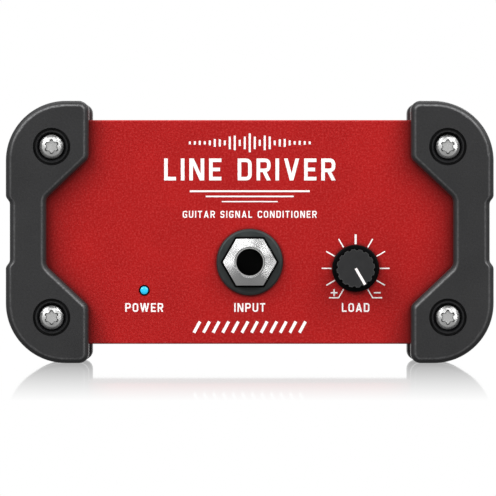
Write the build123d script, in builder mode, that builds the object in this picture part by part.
"""Instrument line driver: an extruded case between four moulded bumpers, with its electronics inside.

Millimetres. +Z is up, the front panel faces -Y and the rear panel faces +Y. The origin is at the
middle of the underside, on the surface that the bumpers stand on.
"""

import os

from build123d import *

# Overall size
overall_width = 122.0
overall_height = 65.6
overall_depth = 134.0
knob_ahead_of_bumpers = 2.5

# Case and panels
case_width = 112.0
case_height = 56.0
case_corner = 2.0
case_wall = 2.0
panel_thickness = 1.5
bumper_lip = 4.5
bumper_depth = 26.0

centre_z = overall_height / 2
front_stand = -overall_depth / 2 + knob_ahead_of_bumpers
rear_stand = overall_depth / 2
front_face = front_stand + bumper_lip
rear_face = rear_stand - bumper_lip
sleeve_front = front_face + panel_thickness
sleeve_rear = rear_face - panel_thickness

# Case screws, M3, one near each corner of each panel
screw_x = 49.55
screw_y = 21.35
screw_shank_r = 1.45
boss_r = 3.0
boss_bore_r = 1.5
panel_screw_hole_r = 1.7
cup_r = 4.7

# Main board
board_top = 16.2
board_thickness = 1.6
board_half_width = 53.6
board_end_gap = 1.0
board_underside = board_top - board_thickness

# Places on the main board, as x, y
transformer_at = (-20.0, 4.0)
can_columns = (18.0, 29.0, 40.0)
can_rows = (-18.0, -6.0)
film_columns = (-40.0, -29.0)
film_rows = (-32.0, -24.0, -16.0)
chip_column = 2.0
chip_rows = (-12.0, 4.0, 20.0)
regulator_at = (34.0, 22.0)

# Rows of resistors: x, y of the first, and how many
resistor_rows = ((-12.0, -26.0, 5), (14.0, -32.0, 4), (20.0, 8.0, 6), (36.0, 14.0, 4), (-42.0, 16.0, 4))

# What each panel carries: x, z of its axis
input_jack_at = (0.0, 25.25)
knob_at = (26.5, 23.7)
light_at = (-26.4, 18.2)
xlr_at = (-22.0, 30.0)
thru_jack_at = (6.0, 25.25)
lift_button_at = (21.0, 20.4)
dc_inlet_at = (33.0, 22.7)

# Jack
jack_bore_r = 3.39
jack_bush_r = 4.55
jack_hole_r = 4.8
jack_housing_width = 16.0
jack_housing_height = 18.1
jack_housing_depth = 27.0
jack_washer_r = 8.33
jack_washer_thickness = 1.2
jack_nut_flats = 11.65
jack_nut_thickness = 3.1
jack_nut_mouth_r = 3.6
jack_nut_lip = 0.5
jack_nose = jack_washer_thickness + jack_nut_thickness - jack_nut_lip
jack_bush_length = 10.0

# Knob and potentiometer
shaft_r = 3.0
shaft_bearing_r = 3.06
shaft_hole_r = 3.5
skirt_r = 5.9
knob_grip_r = 4.8
knob_scallops = 16
knob_base_gap = 0.5
pointer_angle = -150.0

# XLR connector
xlr_flange_width = 26.0
xlr_flange_height = 31.0
xlr_flange_thickness = 2.0
xlr_cavity_r = 8.05
xlr_tube_r = 9.4
xlr_pin_r = 1.2
xlr_pin_root_r = 1.0
xlr_pin_circle_r = 3.81
xlr_screw_offset = (9.5, 12.0)
xlr_screw_hole_r = 1.6

# DC inlet and ground-lift button
dc_cavity_r = 2.95
dc_pin_r = 1.0
dc_pin_root_r = 0.7
button_r = 3.3

# Power light
light_hole_r = 1.1

os.makedirs("parts", exist_ok=True)


def save(piece, name):
    """Label a finished piece and write it to its own file."""
    piece.part.label = name
    export_step(piece.part, f"parts/{name}.step")


def on_front(at):
    """The plane on the front panel's outer face at (x, z), looking out of the case."""
    return Plane(origin=(at[0], front_face, at[1]), x_dir=(1, 0, 0), z_dir=(0, -1, 0))


def on_rear(at):
    """The plane on the rear panel's outer face at (x, z), looking out of the case."""
    return Plane(origin=(at[0], rear_face, at[1]), x_dir=(-1, 0, 0), z_dir=(0, 1, 0))


def plane_axis(plane):
    """The line through a plane's origin along its normal."""
    return Axis(plane.origin, plane.z_dir)


def turned(plane, outline):
    """A piece turned about the plane's normal, from its outline as (radius, height) points."""
    section = Plane(origin=plane.origin, x_dir=plane.x_dir, z_dir=-plane.y_dir)
    with BuildPart() as piece:
        with BuildSketch(section):
            with BuildLine():
                Polyline(*outline, close=True)
            make_face()
        revolve(axis=plane_axis(plane))
    return piece


def block(low, high, edge_radius=0.0):
    """A rectangular piece between two corners, with its upright edges rounded."""
    middle = ((low[0] + high[0]) / 2, (low[1] + high[1]) / 2)
    with BuildPart() as piece:
        with BuildSketch(Plane.XY.offset(low[2])):
            with Locations(middle):
                Rectangle(high[0] - low[0], high[1] - low[1])
        extrude(amount=high[2] - low[2])
        if edge_radius:
            fillet(piece.edges().filter_by(Axis.Z), edge_radius)
    return piece


def screw_places():
    """Where the four case screws of one end stand, from the middle of the panel."""
    return GridLocations(2 * screw_x, 2 * screw_y, 2, 2)


# ---------------------------------------------------------------- case

def make_case_sleeve():
    guide_depth = 2.2
    guide_lip = 1.2
    board_gap = 0.1
    web_width = 2.4
    inner_half_width = case_width / 2 - case_wall
    inner_half_height = case_height / 2 - case_wall
    start = Plane(origin=(0, sleeve_front, centre_z), x_dir=(1, 0, 0), z_dir=(0, -1, 0))
    with BuildPart() as sleeve:
        with BuildSketch(start):
            RectangleRounded(case_width, case_height, case_corner)
            Rectangle(2 * inner_half_width, 2 * inner_half_height, mode=Mode.SUBTRACT)
            with screw_places():
                Circle(boss_r)
            for side in (-1, 1):
                for level in (-1, 1):
                    with Locations((side * (screw_x + inner_half_width) / 2, level * screw_y)):
                        Rectangle(inner_half_width - screw_x, web_width)
                    with Locations((side * screw_x, level * (screw_y + inner_half_height) / 2)):
                        Rectangle(web_width, inner_half_height - screw_y)
                guide_x = side * (inner_half_width - guide_depth / 2)
                above = board_top - centre_z + board_gap + guide_lip / 2
                below = board_underside - centre_z - board_gap - guide_lip / 2
                for guide_y in (above, below):
                    with Locations((guide_x, guide_y)):
                        Rectangle(guide_depth, guide_lip)
            with screw_places():
                Circle(boss_bore_r, mode=Mode.SUBTRACT)
        extrude(amount=-(sleeve_rear - sleeve_front))
    return sleeve


def make_panel(middle, round_holes):
    """A case end plate. round_holes holds (x, z, radius) of each opening for a connector or control."""
    edge_chamfer = 0.3
    with BuildPart() as panel:
        with BuildSketch(middle):
            RectangleRounded(case_width, case_height, case_corner)
        extrude(amount=-panel_thickness)
        end_faces = panel.faces().filter_by(Axis.Y)
        outer_face = max(end_faces, key=lambda face: abs(face.center().Y))
        chamfer(outer_face.edges(), edge_chamfer)
        with BuildSketch(middle):
            with screw_places():
                Circle(panel_screw_hole_r)
            for x, z, radius in round_holes:
                with Locations((x * middle.x_dir.X, z - centre_z)):
                    Circle(radius)
        extrude(amount=-panel_thickness, mode=Mode.SUBTRACT)
    return panel


def make_bumper(side, end):
    """One moulded bumper: side is -1 left or 1 right, end is -1 front or 1 rear."""
    inner_waist = 50.9
    inner_wide = 40.3
    diagonal_low = 8.4
    diagonal_high = 18.4
    corner_r = 15.0
    step_start = 9.3
    step_end = 6.9
    step_depth = 1.0
    inner_corner_r = 2.4
    edge_r = 1.5
    half_width = overall_width / 2
    half_height = overall_height / 2
    stand = front_stand if end < 0 else rear_stand
    plane = Plane(origin=(0, stand, centre_z), x_dir=(side, 0, 0), z_dir=(0, end, 0))
    with BuildPart() as bumper:
        with BuildSketch(plane) as profile:
            with BuildLine():
                Polyline(
                    (inner_waist, 0),
                    (inner_waist, diagonal_low),
                    (inner_wide, diagonal_high),
                    (inner_wide, half_height),
                    (half_width - corner_r, half_height),
                )
                RadiusArc(
                    (half_width - corner_r, half_height),
                    (half_width, half_height - corner_r),
                    corner_r,
                )
                Line((half_width, half_height - corner_r), (half_width, step_start))
                Spline(
                    (half_width, step_start),
                    (half_width - step_depth, step_end),
                    tangents=((0, -1), (0, -1)),
                )
                Line((half_width - step_depth, step_end), (half_width - step_depth, 0))
                Line((half_width - step_depth, 0), (inner_waist, 0))
            make_face()
            mirror(about=Plane.XZ)
            at_waist = half_width - corner_r
            inner_corners = [
                corner
                for corner in profile.vertices()
                if abs(corner.X) < at_waist or abs(abs(corner.X) - inner_waist) < 0.1
            ]
            fillet([corner for corner in inner_corners if abs(corner.Y) > step_end], inner_corner_r)
        extrude(amount=-bumper_depth)
        ends = bumper.faces().filter_by(Axis.Y)
        fillet(ends.edges(), edge_r)
        with BuildSketch(plane.offset(-bumper_lip)):
            RectangleRounded(case_width, case_height, case_corner)
        extrude(amount=-bumper_depth, mode=Mode.SUBTRACT)
        with BuildSketch(plane):
            with Locations((screw_x, screw_y), (screw_x, -screw_y)):
                Circle(cup_r)
        extrude(amount=-bumper_lip, mode=Mode.SUBTRACT)
    return bumper


def make_bushes(end):
    """The screw cups of one end: sloped cups that the screw heads sink into, in a narrow groove."""
    groove_r = 4.05
    groove_depth = 2.0
    rim_r = 3.75
    rim_drop = 0.3
    seat_r = 3.15
    seat_edge = 0.3
    bore_r = 1.6
    seat_height = 2.3
    return make_at_screws(
        end,
        (
            (bore_r, 0),
            (cup_r, 0),
            (cup_r, bumper_lip - groove_depth),
            (groove_r, bumper_lip - groove_depth),
            (groove_r, bumper_lip - rim_drop),
            (rim_r, bumper_lip - rim_drop),
            (seat_r, seat_height + seat_edge),
            (seat_r, seat_height),
            (bore_r, seat_height),
        ),
    )


def make_at_screws(end, outline):
    """Four separate turned pieces on the case screw axes of one end."""
    face = front_face if end < 0 else rear_face
    with BuildPart() as group:
        for x in (-screw_x, screw_x):
            for z in (centre_z - screw_y, centre_z + screw_y):
                section = Plane(origin=(x, face, z), x_dir=(1, 0, 0), z_dir=(0, 0, end))
                with BuildSketch(section):
                    with BuildLine():
                        Polyline(*outline, close=True)
                    make_face()
                revolve(axis=Axis((x, face, z), (0, end, 0)))
    return group


def make_screws(end):
    """The four case screws of one end, with domed heads and a six-lobe socket."""
    head_r = 2.97
    head_rim = 1.3
    head_top = 2.0
    dome_mid_r = 2.35
    dome_mid_rise = 1.8
    seat_height = 2.3
    shank_end = -9.7
    tip_taper = 0.5
    socket_r = 1.4
    socket_lobe_r = 0.48
    socket_depth = 1.1
    blanks = make_at_screws(
        end,
        (
            (0, shank_end),
            (screw_shank_r - tip_taper, shank_end),
            (screw_shank_r, shank_end + tip_taper),
            (screw_shank_r, seat_height),
            (head_r, seat_height),
            (head_r, seat_height + head_rim),
            (dome_mid_r, seat_height + dome_mid_rise),
            (socket_r, seat_height + head_top),
            (0, seat_height + head_top),
        ),
    )
    face = front_face if end < 0 else rear_face
    middle = Plane(origin=(0, face, centre_z), x_dir=(1, 0, 0), z_dir=(0, end, 0))
    with BuildPart() as screws:
        add(blanks.part)
        with BuildSketch(middle.offset(seat_height + head_top)):
            with screw_places():
                Circle(socket_r)
                with PolarLocations(socket_r, 6, start_angle=90):
                    Circle(socket_lobe_r)
        extrude(amount=-socket_depth, mode=Mode.SUBTRACT)
    return screws


# ---------------------------------------------------------------- jack sockets

def make_jack(prefix, plane):
    """A board-mounted 6.35 mm jack socket: every piece, along the plane's normal."""
    axis_z = plane.origin.Z
    axis_x = plane.origin.X
    out = plane.z_dir.Y
    half = jack_housing_width / 2
    cavity_r = jack_bore_r + 0.6
    back_wall = 1.6
    housing_edge_r = 0.6
    slot_half = 1.7
    contact_gap = 0.1
    leaf_half = 1.3
    leaf = 0.4
    housing_front = -panel_thickness
    housing_rear = housing_front - jack_housing_depth
    bush_rear = jack_nose - jack_bush_length
    cavity_end = housing_rear + back_wall

    def upright(low, high):
        """Where a height range along the jack's axis lies along Y, low first."""
        return sorted((plane.origin.Y + out * low, plane.origin.Y + out * high))

    def strip(x_half, heights, z_low, z_high):
        """A block across the jack's axis, from heights along it and levels above the axis."""
        y_low, y_high = upright(*heights)
        return block(
            (axis_x - x_half, y_low, axis_z + z_low),
            (axis_x + x_half, y_high, axis_z + z_high),
        )

    board_level = board_top - axis_z
    washer_rim_r = 0.7
    slot_low = 0.5
    slot_high = 7.0
    back_slot_low = 5.2
    slot_front = bush_rear - 2.0
    blade_slot = 0.9
    with BuildPart() as housing:
        add(strip(half, (housing_rear, housing_front), board_level, board_level + jack_housing_height))
        fillet(housing.edges().filter_by(Axis.Y), housing_edge_r)
        with BuildSketch(plane.offset(housing_front)):
            Circle(jack_bush_r)
        extrude(amount=bush_rear - housing_front, mode=Mode.SUBTRACT)
        with BuildSketch(plane.offset(bush_rear)):
            Circle(cavity_r)
        extrude(amount=cavity_end - bush_rear, mode=Mode.SUBTRACT)
        add(strip(slot_half, (cavity_end, slot_front), slot_low, slot_high), mode=Mode.SUBTRACT)
        add(strip(slot_half, (housing_rear, cavity_end), back_slot_low, slot_high), mode=Mode.SUBTRACT)
        blade_span = (bush_rear - blade_slot, bush_rear)
        add(strip(slot_half, blade_span, board_level, -slot_low), mode=Mode.SUBTRACT)
    save(housing, f"{prefix}_housing")

    bush = turned(
        plane,
        (
            (jack_bore_r, bush_rear),
            (jack_bush_r, bush_rear),
            (jack_bush_r, jack_nose),
            (jack_bore_r, jack_nose),
        ),
    )
    save(bush, f"{prefix}_bush")

    washer = turned(
        plane,
        (
            (jack_hole_r, 0),
            (jack_washer_r, 0),
            (jack_washer_r, jack_washer_thickness),
            (jack_hole_r, jack_washer_thickness),
        ),
    )
    with washer:
        outer_face = washer.faces().filter_by(Axis.Y).sort_by(plane_axis(plane))[-1]
        fillet(outer_face.edges().sort_by(Edge.length)[-1], washer_rim_r)
    save(washer, f"{prefix}_washer")

    nut_base = jack_washer_thickness
    nut_top = nut_base + jack_nut_thickness
    corner_r = 7.0
    corner_edge_r = 0.4
    face_drop = 0.7
    mouth_chamfer = 0.3
    with BuildPart() as nut:
        with BuildSketch(plane.offset(nut_base)):
            RegularPolygon(jack_nut_flats / 2, 6, major_radius=False)
        extrude(amount=jack_nut_thickness)
        fillet(nut.edges().filter_by(Axis.Y), corner_edge_r)
        with BuildSketch(Plane(origin=plane.origin, x_dir=plane.x_dir, z_dir=-plane.y_dir)):
            with BuildLine():
                Polyline(
                    (jack_bush_r, nut_base),
                    (corner_r, nut_base),
                    (corner_r, nut_top - face_drop),
                    (jack_nut_mouth_r + mouth_chamfer, nut_top),
                    (jack_nut_mouth_r, nut_top - mouth_chamfer),
                    (jack_nut_mouth_r, jack_nose),
                    (jack_bush_r, jack_nose),
                    close=True,
                )
            make_face()
        revolve(axis=plane_axis(plane), mode=Mode.INTERSECT)
    save(nut, f"{prefix}_nut")

    # Sleeve terminal: a blade behind the bush, standing on the board.
    blade_front = bush_rear - contact_gap
    blade_top = -jack_bore_r - contact_gap
    sleeve_blade = strip(leaf_half, (blade_front - leaf, blade_front), board_level, blade_top)
    save(sleeve_blade, f"{prefix}_sleeve_contact")

    # Tip contact: a terminal up the back of the housing, and a sprung leaf that dips into the bore.
    terminal_top = 6.4
    terminal = strip(leaf_half, (housing_rear - leaf, housing_rear), board_level, terminal_top)
    save(terminal, f"{prefix}_tip_terminal")

    side_plane = Plane(origin=(axis_x, plane.origin.Y, axis_z), x_dir=(0, out, 0), z_dir=(out, 0, 0))
    leaf_root = housing_rear + contact_gap
    dip = housing_rear + 6.0
    leaf_end = housing_rear + 12.0
    root_level = 6.0
    dip_level = 2.7
    end_level = 4.4
    flat_length = 2.0
    bend_r = (0.8, 1.0, 0.8)
    with BuildPart() as tip_spring:
        with BuildSketch(side_plane):
            with BuildLine():
                FilletPolyline(
                    (leaf_root, root_level),
                    (leaf_root + flat_length, root_level),
                    (dip, dip_level),
                    (leaf_end - flat_length, end_level),
                    (leaf_end, end_level),
                    radius=bend_r,
                )
                offset(amount=leaf, side=Side.LEFT)
            make_face()
        extrude(amount=leaf_half, both=True)
    save(tip_spring, f"{prefix}_tip_spring")

    # Switch contact: the fixed blade that the leaf's free end lies over while no plug is in.
    switch_top = end_level - contact_gap
    switch_overlap = 1.2
    switch_span = (leaf_end - switch_overlap, slot_front)
    switch_blade = strip(leaf_half, switch_span, switch_top - leaf, switch_top)
    save(switch_blade, f"{prefix}_switch_contact")


# ---------------------------------------------------------------- load control

def make_load_control(plane):
    axis_x = plane.origin.X
    axis_z = plane.origin.Z
    knob_top = overall_depth / 2 + front_face
    body_front = -panel_thickness - 0.5
    bearing_depth = 2.0
    cavity_r = 4.3
    cavity_depth = 3.2
    body_half = 4.9
    body_tall = 2 * body_half + 1.4
    body_edge_r = 0.5
    cavity_front = body_front - bearing_depth
    cavity_rear = cavity_front - cavity_depth
    shaft_gap = 0.3
    skirt_height = 1.2
    shaft_top = knob_top - 1.0

    with BuildPart() as housing:
        with BuildSketch(plane.offset(body_front)):
            Rectangle(2 * body_half, body_tall)
        extrude(amount=cavity_rear - body_front)
        fillet(housing.edges().filter_by(Axis.Y), body_edge_r)
        with BuildSketch(plane.offset(body_front)):
            Circle(shaft_bearing_r)
        extrude(amount=-bearing_depth, mode=Mode.SUBTRACT)
        with BuildSketch(plane.offset(cavity_front)):
            Circle(cavity_r)
        extrude(amount=-cavity_depth, mode=Mode.SUBTRACT)
    save(housing, "pot_housing")

    element_thickness = 1.0
    with BuildPart() as element:
        with BuildSketch(plane.offset(cavity_rear)):
            Rectangle(2 * body_half, body_tall)
        extrude(amount=-element_thickness)
    save(element, "pot_element")

    # Terminals: three strips down the back of the element to the board.
    terminal = 0.5
    terminal_width = 1.0
    terminal_pitch = 2.5
    terminal_overlap = 2.0
    terminal_length = axis_z - board_top - body_half + terminal_overlap
    terminal_foot = board_top - axis_z
    with BuildPart() as terminals:
        with BuildSketch(plane.offset(cavity_rear - element_thickness)):
            with Locations((0, terminal_foot + terminal_length / 2)):
                with GridLocations(terminal_pitch, 0, 3, 1):
                    Rectangle(terminal_width, terminal_length)
        extrude(amount=-terminal)
    save(terminals, "pot_terminals")

    bracket_wall = 0.5
    bracket_top = body_tall / 2
    with BuildPart() as bracket:
        with BuildSketch(plane.offset(body_front)):
            for side in (-1, 1):
                middle_y = (bracket_top + board_top - axis_z) / 2
                with Locations((side * (body_half + bracket_wall / 2), middle_y)):
                    Rectangle(bracket_wall, bracket_top - board_top + axis_z)
            with Locations((0, bracket_top + bracket_wall / 2)):
                Rectangle(2 * body_half + 2 * bracket_wall, bracket_wall)
        extrude(amount=cavity_rear - body_front)
    save(bracket, "pot_bracket")

    wiper_top = cavity_front - shaft_gap
    shaft_tip = 0.4
    shaft = turned(
        plane,
        (
            (0, wiper_top),
            (shaft_r, wiper_top),
            (shaft_r, shaft_top - shaft_tip),
            (shaft_r - shaft_tip, shaft_top),
            (0, shaft_top),
        ),
    )
    save(shaft, "pot_shaft")

    # Wiper: a disc behind the shaft, with two small feet that nearly touch the element.
    wiper_disc = 1.0
    foot_x = 1.0
    foot_y = 3.0
    foot_r = 0.5
    foot_gap = 0.2
    with BuildPart() as wiper:
        with BuildSketch(plane.offset(wiper_top)):
            Circle(cavity_r - shaft_gap)
        extrude(amount=-wiper_disc)
        with BuildSketch(plane.offset(wiper_top - wiper_disc)):
            with Locations((-foot_x, foot_y), (foot_x, foot_y)):
                Circle(foot_r)
        extrude(amount=cavity_rear + foot_gap - (wiper_top - wiper_disc))
    save(wiper, "pot_wiper")

    pointer_width = 0.62
    pointer_length = knob_grip_r - 0.15
    pointer_depth = 0.3
    groove_r = 0.5
    groove_offset = 0.15
    groove_turn = 90 + pointer_angle + 180 / knob_scallops
    skirt_edge_r = 0.4

    def pointer_face():
        """The pointer's outline on the knob's face, from its middle towards its rim."""
        with BuildSketch(plane.offset(knob_top)) as outline:
            with Locations(Location((0, 0), pointer_angle)):
                with Locations((0, pointer_length / 2)):
                    Rectangle(pointer_width, pointer_length)
        return outline.sketch

    with BuildPart() as knob:
        with BuildSketch(plane.offset(knob_base_gap)):
            Circle(skirt_r)
        extrude(amount=skirt_height)
        fillet(knob.faces().sort_by(Axis.Y)[0].edges(), skirt_edge_r)
        with BuildSketch(plane.offset(knob_base_gap + skirt_height)):
            Circle(knob_grip_r)
            with PolarLocations(knob_grip_r + groove_offset, knob_scallops, start_angle=groove_turn):
                Circle(groove_r, mode=Mode.SUBTRACT)
        extrude(amount=knob_top - knob_base_gap - skirt_height)
        with BuildSketch(plane.offset(knob_base_gap)):
            Circle(shaft_r)
        extrude(amount=shaft_top - knob_base_gap, mode=Mode.SUBTRACT)
        extrude(pointer_face(), amount=-pointer_depth, mode=Mode.SUBTRACT)
    save(knob, "load_knob")

    with BuildPart() as pointer:
        extrude(pointer_face(), amount=-pointer_depth)
    save(pointer, "knob_pointer")


# ---------------------------------------------------------------- power light

def make_power_light(plane):
    pipe_r = 0.95
    pipe_depth = 7.0
    shoulder_r = 1.7
    edge_rise = 0.1
    dome_mid_r = 0.6
    dome_mid_rise = 0.3
    dome_rise = 0.35
    lamp_half = 1.6
    lamp_depth = 2.0
    lamp_height = 3.6
    lamp_edge_r = 0.3
    pipe = turned(
        plane,
        (
            (0, -pipe_depth),
            (shoulder_r, -pipe_depth),
            (shoulder_r, -panel_thickness),
            (pipe_r, -panel_thickness),
            (pipe_r, edge_rise),
            (dome_mid_r, dome_mid_rise),
            (0, dome_rise),
        ),
    )
    save(pipe, "power_light_pipe")
    y_front = front_face + pipe_depth
    led = block(
        (plane.origin.X - lamp_half, y_front, board_top),
        (plane.origin.X + lamp_half, y_front + lamp_depth, board_top + lamp_height),
        lamp_edge_r,
    )
    save(led, "power_led")


# ---------------------------------------------------------------- rear connectors

def make_xlr(plane):
    tube_rear = -16.0
    insert_thickness = 4.0
    flange_corner_r = 4.0
    flange_edge_r = 0.5
    key_width = 4.0
    key_height = 1.6
    key_depth = 10.0
    screw_places = (xlr_screw_offset, (-xlr_screw_offset[0], -xlr_screw_offset[1]))
    with BuildPart() as shell:
        with BuildSketch(plane):
            RectangleRounded(xlr_flange_width, xlr_flange_height, flange_corner_r)
        extrude(amount=xlr_flange_thickness)
        fillet(shell.faces().sort_by(Axis.Y)[-1].edges(), flange_edge_r)
        with BuildSketch(plane):
            Circle(xlr_tube_r)
        extrude(amount=tube_rear)
        with BuildSketch(plane.offset(xlr_flange_thickness)):
            Circle(xlr_cavity_r)
        extrude(amount=tube_rear - xlr_flange_thickness, mode=Mode.SUBTRACT)
        with BuildSketch(plane.offset(xlr_flange_thickness)):
            with Locations((0, xlr_cavity_r)):
                Rectangle(key_width, key_height)
        extrude(amount=-key_depth, mode=Mode.SUBTRACT)
        with BuildSketch(plane.offset(xlr_flange_thickness)):
            with Locations(*screw_places):
                Circle(xlr_screw_hole_r)
        extrude(amount=-xlr_flange_thickness, mode=Mode.SUBTRACT)
    save(shell, "xlr_shell")

    pin_places = PolarLocations(xlr_pin_circle_r, 3, start_angle=180, angular_range=180, endpoint=True)
    with BuildPart() as insert:
        with BuildSketch(plane.offset(tube_rear + insert_thickness)):
            Circle(xlr_cavity_r)
            with pin_places:
                Circle(xlr_pin_root_r, mode=Mode.SUBTRACT)
        extrude(amount=-insert_thickness)
    save(insert, "xlr_insert")

    pin_front = -1.0
    pin_step = tube_rear + insert_thickness
    pin_rear = tube_rear - 2.0
    pin_tip_r = 0.8
    tail = 0.8
    foot = board_top - plane.origin.Z
    with BuildPart() as pins:
        with BuildSketch(plane.offset(pin_front)):
            with pin_places:
                Circle(xlr_pin_r)
        extrude(amount=pin_step - pin_front)
        fillet(pins.faces().sort_by(Axis.Y)[-3:].edges(), pin_tip_r)
        with BuildSketch(plane.offset(pin_step)):
            with pin_places:
                Circle(xlr_pin_root_r)
        extrude(amount=pin_rear - pin_step)
        for x, y in ((-xlr_pin_circle_r, 0), (0, -xlr_pin_circle_r), (xlr_pin_circle_r, 0)):
            with BuildSketch(plane.offset(pin_rear + tail)):
                with Locations((x, (y + foot) / 2)):
                    Rectangle(tail, y - foot)
            extrude(amount=-tail)
    save(pins, "xlr_pins")

    shank_r = 1.25
    shank_length = 5.0
    head_r = 2.6
    head_height = 1.5
    head_edge_r = 0.8
    cross_length = 2.4
    cross_width = 0.6
    cross_depth = 0.9
    with BuildPart() as screws:
        with BuildSketch(plane.offset(-shank_length)):
            with Locations(*screw_places):
                Circle(shank_r)
        extrude(amount=shank_length + xlr_flange_thickness)
        with BuildSketch(plane.offset(xlr_flange_thickness)):
            with Locations(*screw_places):
                Circle(head_r)
        extrude(amount=head_height)
        fillet(screws.faces().sort_by(Axis.Y)[-2:].edges(), head_edge_r)
        with BuildSketch(plane.offset(xlr_flange_thickness + head_height)):
            with Locations(*screw_places):
                Rectangle(cross_length, cross_width)
                Rectangle(cross_width, cross_length)
        extrude(amount=-cross_depth, mode=Mode.SUBTRACT)
    save(screws, "xlr_screws")


def make_dc_inlet(plane):
    half_width = 4.5
    height = 11.0
    depth = 14.0
    cavity_depth = 10.0
    front = -panel_thickness
    slot_width = 3.4
    slot_height = 2.0
    slot_overlap = 0.8
    pin_tail = 1.0
    pin_recess = 0.6
    pin_tip = 0.4
    housing_edge_r = 0.4
    leaf_half = 1.4
    leaf = 0.4
    leaf_drop = 0.7
    leaf_start = 1.0
    y_rear = plane.origin.Y + front - depth
    with BuildPart() as housing:
        add(
            block(
                (plane.origin.X - half_width, y_rear, board_top),
                (plane.origin.X + half_width, plane.origin.Y + front, board_top + height),
            )
        )
        fillet(housing.edges().filter_by(Axis.Y), housing_edge_r)
        with BuildSketch(plane.offset(front)):
            Circle(dc_cavity_r)
        extrude(amount=-cavity_depth, mode=Mode.SUBTRACT)
        with BuildSketch(plane.offset(front)):
            with Locations((0, -dc_cavity_r - slot_height / 2 + slot_overlap)):
                Rectangle(slot_width, slot_height)
        extrude(amount=-cavity_depth, mode=Mode.SUBTRACT)
        with BuildSketch(plane.offset(front - cavity_depth)):
            Circle(dc_pin_root_r)
        extrude(amount=cavity_depth - depth, mode=Mode.SUBTRACT)
    save(housing, "dc_inlet_housing")

    pin = turned(
        plane,
        (
            (0, front - depth - pin_tail),
            (dc_pin_root_r, front - depth - pin_tail),
            (dc_pin_root_r, front - cavity_depth),
            (dc_pin_r, front - cavity_depth),
            (dc_pin_r, front - pin_recess - pin_tip),
            (dc_pin_r - pin_tip, front - pin_recess),
            (0, front - pin_recess),
        ),
    )
    save(pin, "dc_inlet_pin")

    leaf_level = plane.origin.Z - dc_cavity_r - leaf_drop
    spring = block(
        (plane.origin.X - leaf_half, plane.origin.Y + front - cavity_depth + leaf / 2, leaf_level),
        (plane.origin.X + leaf_half, plane.origin.Y + front - leaf_start, leaf_level + leaf),
    )
    save(spring, "dc_inlet_spring")


def make_lift_switch(plane):
    half = 4.2
    body_front = -4.4
    body_depth = 14.0
    stem_half = 1.3
    stem_gap = 0.3
    bore_depth = 11.8
    cap_back = -1.3
    cap_front = 3.5
    stem_rear = body_front - 7.0
    stem_front = cap_front - 1.5
    body_edge_r = 0.4
    cap_edge_r = 0.6
    with BuildPart() as body:
        with BuildSketch(plane.offset(body_front)):
            Rectangle(2 * half, 2 * half)
            Rectangle(2 * (stem_half + stem_gap), 2 * (stem_half + stem_gap), mode=Mode.SUBTRACT)
        extrude(amount=-bore_depth)
        with BuildSketch(plane.offset(body_front - bore_depth)):
            Rectangle(2 * half, 2 * half)
        extrude(amount=bore_depth - body_depth)
        fillet(body.edges().filter_by(Axis.Y).group_by(Edge.length)[-1], body_edge_r)
    save(body, "lift_switch_body")

    with BuildPart() as stem:
        with BuildSketch(plane.offset(stem_rear)):
            Rectangle(2 * stem_half, 2 * stem_half)
        extrude(amount=stem_front - stem_rear)
    save(stem, "lift_switch_stem")

    with BuildPart() as cap:
        with BuildSketch(plane.offset(cap_back)):
            Circle(button_r)
        extrude(amount=cap_front - cap_back)
        fillet(cap.faces().sort_by(Axis.Y)[-1].edges(), cap_edge_r)
        with BuildSketch(plane.offset(cap_back)):
            Rectangle(2 * stem_half, 2 * stem_half)
        extrude(amount=stem_front - cap_back, mode=Mode.SUBTRACT)
    save(cap, "lift_button_cap")

    wire_r = 0.15
    coil_r = 0.95
    end_gap = 0.1
    spring_front = stem_rear - end_gap - wire_r
    spring_rear = body_front - bore_depth + end_gap + wire_r
    turns = 4
    length = spring_front - spring_rear
    with BuildPart() as spring:
        with BuildLine() as coil:
            Helix(
                pitch=length / turns,
                height=length,
                radius=coil_r,
                center=plane.origin + plane.z_dir * spring_rear,
                direction=plane.z_dir,
            )
        with BuildSketch(Plane(origin=coil.line @ 0, z_dir=coil.line % 0)):
            Circle(wire_r)
        sweep(is_frenet=True)
    save(spring, "lift_switch_spring")


# ---------------------------------------------------------------- board and what stands on it

def make_board():
    board = block(
        (-board_half_width, sleeve_front + board_end_gap, board_underside),
        (board_half_width, sleeve_rear - board_end_gap, board_top),
        1.0,
    )
    save(board, "main_board")


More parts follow.
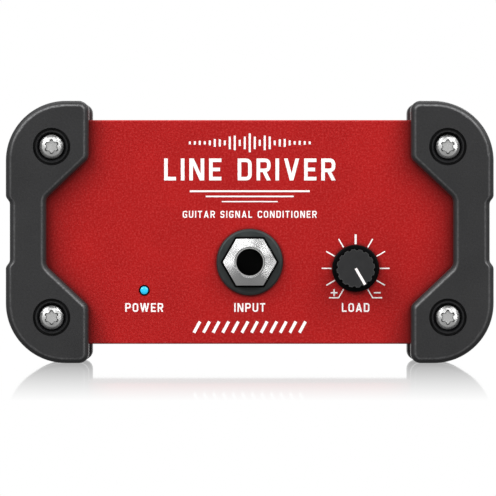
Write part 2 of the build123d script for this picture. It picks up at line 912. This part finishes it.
def make_transformer(centre_x, centre_y):
    """A small isolating transformer: laminated core, bobbin and winding, with the bobbin upright."""
    core_width = 24.0
    core_height = 20.0
    stack = 9.0
    leg = 8.0
    window_width = 4.0
    window_height = 12.0
    raise_up = 1.0
    foot_x = 6.0
    foot_y = 7.4
    winding_inset = 0.3
    winding_corner_r = 1.5
    middle_z = board_top + raise_up + core_height / 2
    window_x = leg / 2 + window_width / 2
    upright = Plane(origin=(centre_x, centre_y, middle_z), x_dir=(1, 0, 0), z_dir=(0, -1, 0))
    with BuildPart() as core:
        with BuildSketch(upright):
            Rectangle(core_width, core_height)
            with Locations((-window_x, 0), (window_x, 0)):
                Rectangle(window_width, window_height, mode=Mode.SUBTRACT)
        extrude(amount=stack / 2, both=True)
    save(core, "transformer_core")

    tube_wall = 0.7
    flange = 0.8
    flange_half = (7.8, 8.4)
    foot_r = 0.5
    window_bottom = middle_z - window_height / 2
    with BuildPart() as bobbin:
        with BuildSketch(Plane.XY.offset(window_bottom)):
            with Locations((centre_x, centre_y)):
                Rectangle(leg + 2 * tube_wall, stack + 2 * tube_wall)
        extrude(amount=window_height)
        for level in (window_bottom, window_bottom + window_height - flange):
            with BuildSketch(Plane.XY.offset(level)):
                with Locations((centre_x, centre_y)):
                    Rectangle(2 * flange_half[0], 2 * flange_half[1])
            extrude(amount=flange)
        with BuildSketch(Plane.XY.offset(board_top)):
            with Locations((centre_x, centre_y)):
                with GridLocations(2 * foot_x, 2 * foot_y, 2, 2):
                    Circle(foot_r)
        extrude(amount=window_bottom - board_top)
        with BuildSketch(Plane.XY.offset(window_bottom)):
            with Locations((centre_x, centre_y)):
                Rectangle(leg, stack)
        extrude(amount=window_height, mode=Mode.SUBTRACT)
    save(bobbin, "transformer_bobbin")

    with BuildPart() as winding:
        with BuildSketch(Plane.XY.offset(window_bottom + flange)):
            with Locations((centre_x, centre_y)):
                RectangleRounded(
                    2 * (flange_half[0] - winding_inset),
                    2 * (flange_half[1] - winding_inset),
                    winding_corner_r,
                )
                Rectangle(leg + 2 * tube_wall, stack + 2 * tube_wall, mode=Mode.SUBTRACT)
        extrude(amount=window_height - 2 * flange)
    save(winding, "transformer_winding")


def make_capacitor_cans(places):
    can_r = 4.0
    can_height = 11.0
    groove = 0.35
    groove_level = 1.4
    groove_height = 0.7
    top_edge_r = 0.6
    with BuildPart() as cans:
        with BuildSketch(Plane.XY.offset(board_top)):
            with Locations(*places):
                Circle(can_r)
        extrude(amount=can_height)
        fillet(cans.faces().filter_by(Plane.XY).group_by(Axis.Z)[-1].edges(), top_edge_r)
        with BuildSketch(Plane.XY.offset(board_top + groove_level)):
            with Locations(*places):
                Circle(can_r)
                Circle(can_r - groove, mode=Mode.SUBTRACT)
        extrude(amount=groove_height, mode=Mode.SUBTRACT)
    save(cans, "capacitor_cans")


def make_film_capacitors(places):
    box = (7.2, 2.6, 6.5)
    edge_r = 0.4
    with BuildPart() as boxes:
        with BuildSketch(Plane.XY.offset(board_top)):
            with Locations(*places):
                Rectangle(box[0], box[1])
        extrude(amount=box[2])
        fillet(boxes.edges().filter_by(Axis.Z), edge_r)
    save(boxes, "film_capacitors")


def make_chips(places):
    """Eight-leg amplifier chips: each body with its own row of legs down both sides."""
    body = (9.5, 6.4, 3.2)
    stand_off = 0.4
    leg = (0.5, 0.25)
    leg_reach = 3.8
    leg_level = 1.6
    leg_pitch = 2.54
    leg_bite = 0.5
    with BuildPart() as chips:
        with BuildSketch(Plane.XY.offset(board_top + stand_off)):
            with Locations(*places):
                Rectangle(body[0], body[1])
        extrude(amount=body[2])
        for side in (-1, 1):
            with BuildSketch(Plane.XY.offset(board_top + leg_level)):
                with Locations(*places):
                    with Locations((0, side * (body[1] / 2 + leg_reach) / 2)):
                        with GridLocations(leg_pitch, 0, 4, 1):
                            Rectangle(leg[0], leg_reach - body[1] / 2 + leg_bite)
            extrude(amount=leg[1])
            with BuildSketch(Plane.XY.offset(board_top)):
                with Locations(*places):
                    with Locations((0, side * leg_reach)):
                        with GridLocations(leg_pitch, 0, 4, 1):
                            Rectangle(leg[0], leg[1])
            extrude(amount=leg_level + leg[1])
    save(chips, "amplifier_chips")


def make_resistors(rows):
    """Surface-mounted resistors, in short rows. rows holds (x, y, count) of each row's middle."""
    pitch = 3.2
    body = (1.25, 2.0, 0.55)
    with BuildPart() as chips:
        for x, y, count in rows:
            with BuildSketch(Plane.XY.offset(board_top)):
                with Locations((x, y)):
                    with GridLocations(pitch, 0, count, 1):
                        Rectangle(body[0], body[1])
            extrude(amount=body[2])
    save(chips, "resistors")


def make_regulator(x, y):
    """A voltage regulator standing on its three legs, against a folded heat sink."""
    half_width = 5.0
    body_back = 4.5
    body_low = 3.0
    body_high = 12.0
    tab_thickness = 1.3
    tab_high = 18.0
    leg_half = 0.4
    leg_pitch = 2.54
    leg_span = (1.8, 2.3)
    with BuildPart() as regulator:
        add(
            block(
                (x - half_width, y, board_top + body_low),
                (x + half_width, y + body_back, board_top + body_high),
            )
        )
        add(
            block(
                (x - half_width, y + body_back - tab_thickness, board_top + body_high),
                (x + half_width, y + body_back, board_top + tab_high),
            )
        )
        for leg_x in (x - leg_pitch, x, x + leg_pitch):
            add(
                block(
                    (leg_x - leg_half, y + leg_span[0], board_top),
                    (leg_x + leg_half, y + leg_span[1], board_top + body_low),
                )
            )
    save(regulator, "voltage_regulator")

    sink_y = y + body_back
    sink_half = 9.5
    sink_height = 19.0
    inner_fin_x = 5.0
    fin_reach = 7.0
    sheet = 1.2
    with BuildPart() as sink:
        with BuildSketch(Plane.XY.offset(board_top)):
            with Locations((x, sink_y + sheet / 2)):
                Rectangle(2 * sink_half, sheet)
            for side in (-1, 1):
                for fin_x in (sink_half - sheet / 2, inner_fin_x):
                    with Locations((x + side * fin_x, sink_y + fin_reach / 2)):
                        Rectangle(sheet, fin_reach)
        extrude(amount=sink_height)
    save(sink, "heat_sink")


save(make_case_sleeve(), "case_sleeve")

hole_clearance = 0.2
front_middle = on_front((0, centre_z))
rear_middle = on_rear((0, centre_z))
front_holes = (
    (*input_jack_at, jack_hole_r),
    (*knob_at, shaft_hole_r),
    (*light_at, light_hole_r),
)
rear_holes = (
    (*xlr_at, xlr_tube_r + hole_clearance),
    (xlr_at[0] - xlr_screw_offset[0], xlr_at[1] + xlr_screw_offset[1], xlr_screw_hole_r),
    (xlr_at[0] + xlr_screw_offset[0], xlr_at[1] - xlr_screw_offset[1], xlr_screw_hole_r),
    (*thru_jack_at, jack_hole_r),
    (*lift_button_at, button_r + 2 * hole_clearance),
    (*dc_inlet_at, dc_cavity_r + 2 * hole_clearance),
)
save(make_panel(front_middle, front_holes), "front_panel")
save(make_panel(rear_middle, rear_holes), "rear_panel")

for end, end_name in ((-1, "front"), (1, "rear")):
    for side, side_name in ((-1, "left"), (1, "right")):
        save(make_bumper(side, end), f"bumper_{end_name}_{side_name}")
    save(make_bushes(end), f"screw_cups_{end_name}")
    save(make_screws(end), f"case_screws_{end_name}")

make_jack("input_jack", on_front(input_jack_at))
make_jack("thru_jack", on_rear(thru_jack_at))
make_load_control(on_front(knob_at))
make_power_light(on_front(light_at))
make_xlr(on_rear(xlr_at))
make_dc_inlet(on_rear(dc_inlet_at))
make_lift_switch(on_rear(lift_button_at))

make_board()
make_transformer(*transformer_at)
make_capacitor_cans([(x, y) for x in can_columns for y in can_rows])
make_film_capacitors([(x, y) for x in film_columns for y in film_rows])
make_chips([(chip_column, y) for y in chip_rows])
make_resistors(resistor_rows)
make_regulator(*regulator_at)
